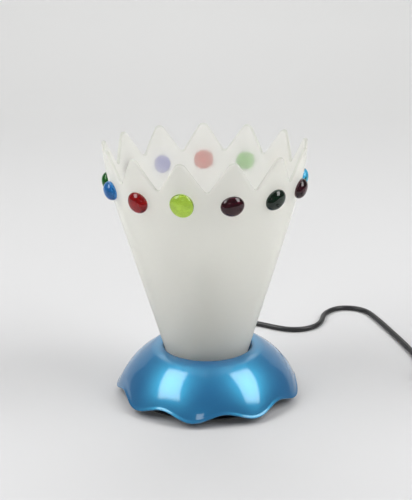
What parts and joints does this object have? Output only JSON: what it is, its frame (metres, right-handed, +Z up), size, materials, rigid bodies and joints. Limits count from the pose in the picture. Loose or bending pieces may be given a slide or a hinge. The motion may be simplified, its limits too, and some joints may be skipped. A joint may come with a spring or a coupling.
{
  "type": "table lamp",
  "caption": "Table lamp: frosted glass crown shade set with coloured glass nuggets, standing loose in a fluted blue metal base, with a mains cord, cord switch and plug.",
  "frame": {"origin": "centre of the base on the plane that its feet stand on", "axes": "+Z up through the shade's axis, -Y towards the front, +X towards the side where the cord is laid"},
  "size_m": [0.393, 0.3375, 0.227],
  "materials": {
    "base_paint": "metallic blue under clear lacquer, high gloss",
    "plate_steel": "black powder coat, satin",
    "screw_steel": "zinc plated",
    "foot_rubber": "matt",
    "seat_felt": "pressed felt",
    "frosted_glass": "etched both sides, satin",
    "brass": "plain turned",
    "holder_plastic": "moulded, fine grain",
    "core_ceramic": "unglazed",
    "cap_metal": "pressed, satin",
    "insulator_glass": "black vitrite",
    "solder": "soldered, dull",
    "opal_glass": "opal, smooth",
    "bush_rubber": "matt",
    "cord_rubber": "satin sheath",
    "wire_plastic": "smooth insulation",
    "clamp_plastic": "moulded",
    "tie_plastic": "moulded",
    "switch_plastic": "moulded, satin",
    "rocker_plastic": "moulded, gloss",
    "plug_plastic": "moulded, satin",
    "pin_metal": "plated, half sleeved",
    "glass_lime": "tumbled coloured glass, gloss",
    "glass_red": "tumbled coloured glass, gloss",
    "glass_blue": "tumbled coloured glass, gloss",
    "glass_forest": "tumbled coloured glass, gloss",
    "glass_smoke": "tumbled coloured glass, gloss",
    "glass_violet": "tumbled coloured glass, gloss",
    "glass_coral": "tumbled coloured glass, gloss",
    "glass_green": "tumbled coloured glass, gloss",
    "glass_amber": "tumbled coloured glass, gloss",
    "glass_sky": "tumbled coloured glass, gloss",
    "glass_damson": "tumbled coloured glass, gloss",
    "glass_pine": "tumbled coloured glass, gloss",
    "glass_plum": "tumbled coloured glass, gloss"
  },
  "bodies": {
    "base": {"base_shell": "base_paint", "bottom_plate": "plate_steel", "plate_screws": "screw_steel", "rubber_feet": "foot_rubber", "seat_ring": "seat_felt", "threaded_nipple": "brass", "nipple_nut": "screw_steel", "lock_washer": "screw_steel", "spacer_tube": "brass", "holder_cap": "holder_plastic", "holder_core": "core_ceramic", "terminal_screws": "brass", "holder_sleeve": "holder_plastic", "thread_shell": "brass", "centre_contact": "brass", "cord_bush": "bush_rubber", "inner_sheath": "cord_rubber", "core_wires": "wire_plastic", "clamp_bar": "clamp_plastic", "clamp_screws": "screw_steel", "cord_lead": "cord_rubber", "cord_feed": "cord_rubber", "cord_coil": "cord_rubber", "coil_tie": "tie_plastic", "cord_tail": "cord_rubber", "switch_lower": "switch_plastic", "switch_upper": "switch_plastic", "switch_screws": "screw_steel", "switch_contacts": "brass", "plug_body": "plug_plastic", "plug_pins": "pin_metal"},
    "shade": {"shade_glass": "frosted_glass", "nugget_lime": "glass_lime", "nugget_red": "glass_red", "nugget_blue": "glass_blue", "nugget_forest": "glass_forest", "nugget_smoke": "glass_smoke", "nugget_violet": "glass_violet", "nugget_coral": "glass_coral", "nugget_green": "glass_green", "nugget_amber": "glass_amber", "nugget_sky": "glass_sky", "nugget_damson": "glass_damson", "nugget_pine": "glass_pine", "nugget_plum": "glass_plum"},
    "bulb": {"bulb_cap": "cap_metal", "bulb_insulator": "insulator_glass", "bulb_contact": "solder", "bulb_glass": "opal_glass"},
    "rocker": {"switch_rocker": "rocker_plastic"}
  },
  "joints": [
    {"name": "shade_lift", "type": "slide", "parent": "base", "child": "shade", "axis": [0, 0, 1], "range_m": [0, 0.14]},
    {"name": "bulb_turn", "type": "hinge", "parent": "base", "child": "bulb", "pos_m": [0, 0, 0.08], "axis": [0, 0, 1], "range_deg": [0, 1620]},
    {"name": "rocker_tilt", "type": "hinge", "parent": "base", "child": "rocker", "pos_m": [0.2133, -0.00693, 0.0118], "axis": [-0.9817, -0.1904, 0], "range_deg": [0, 16]}
  ]
}
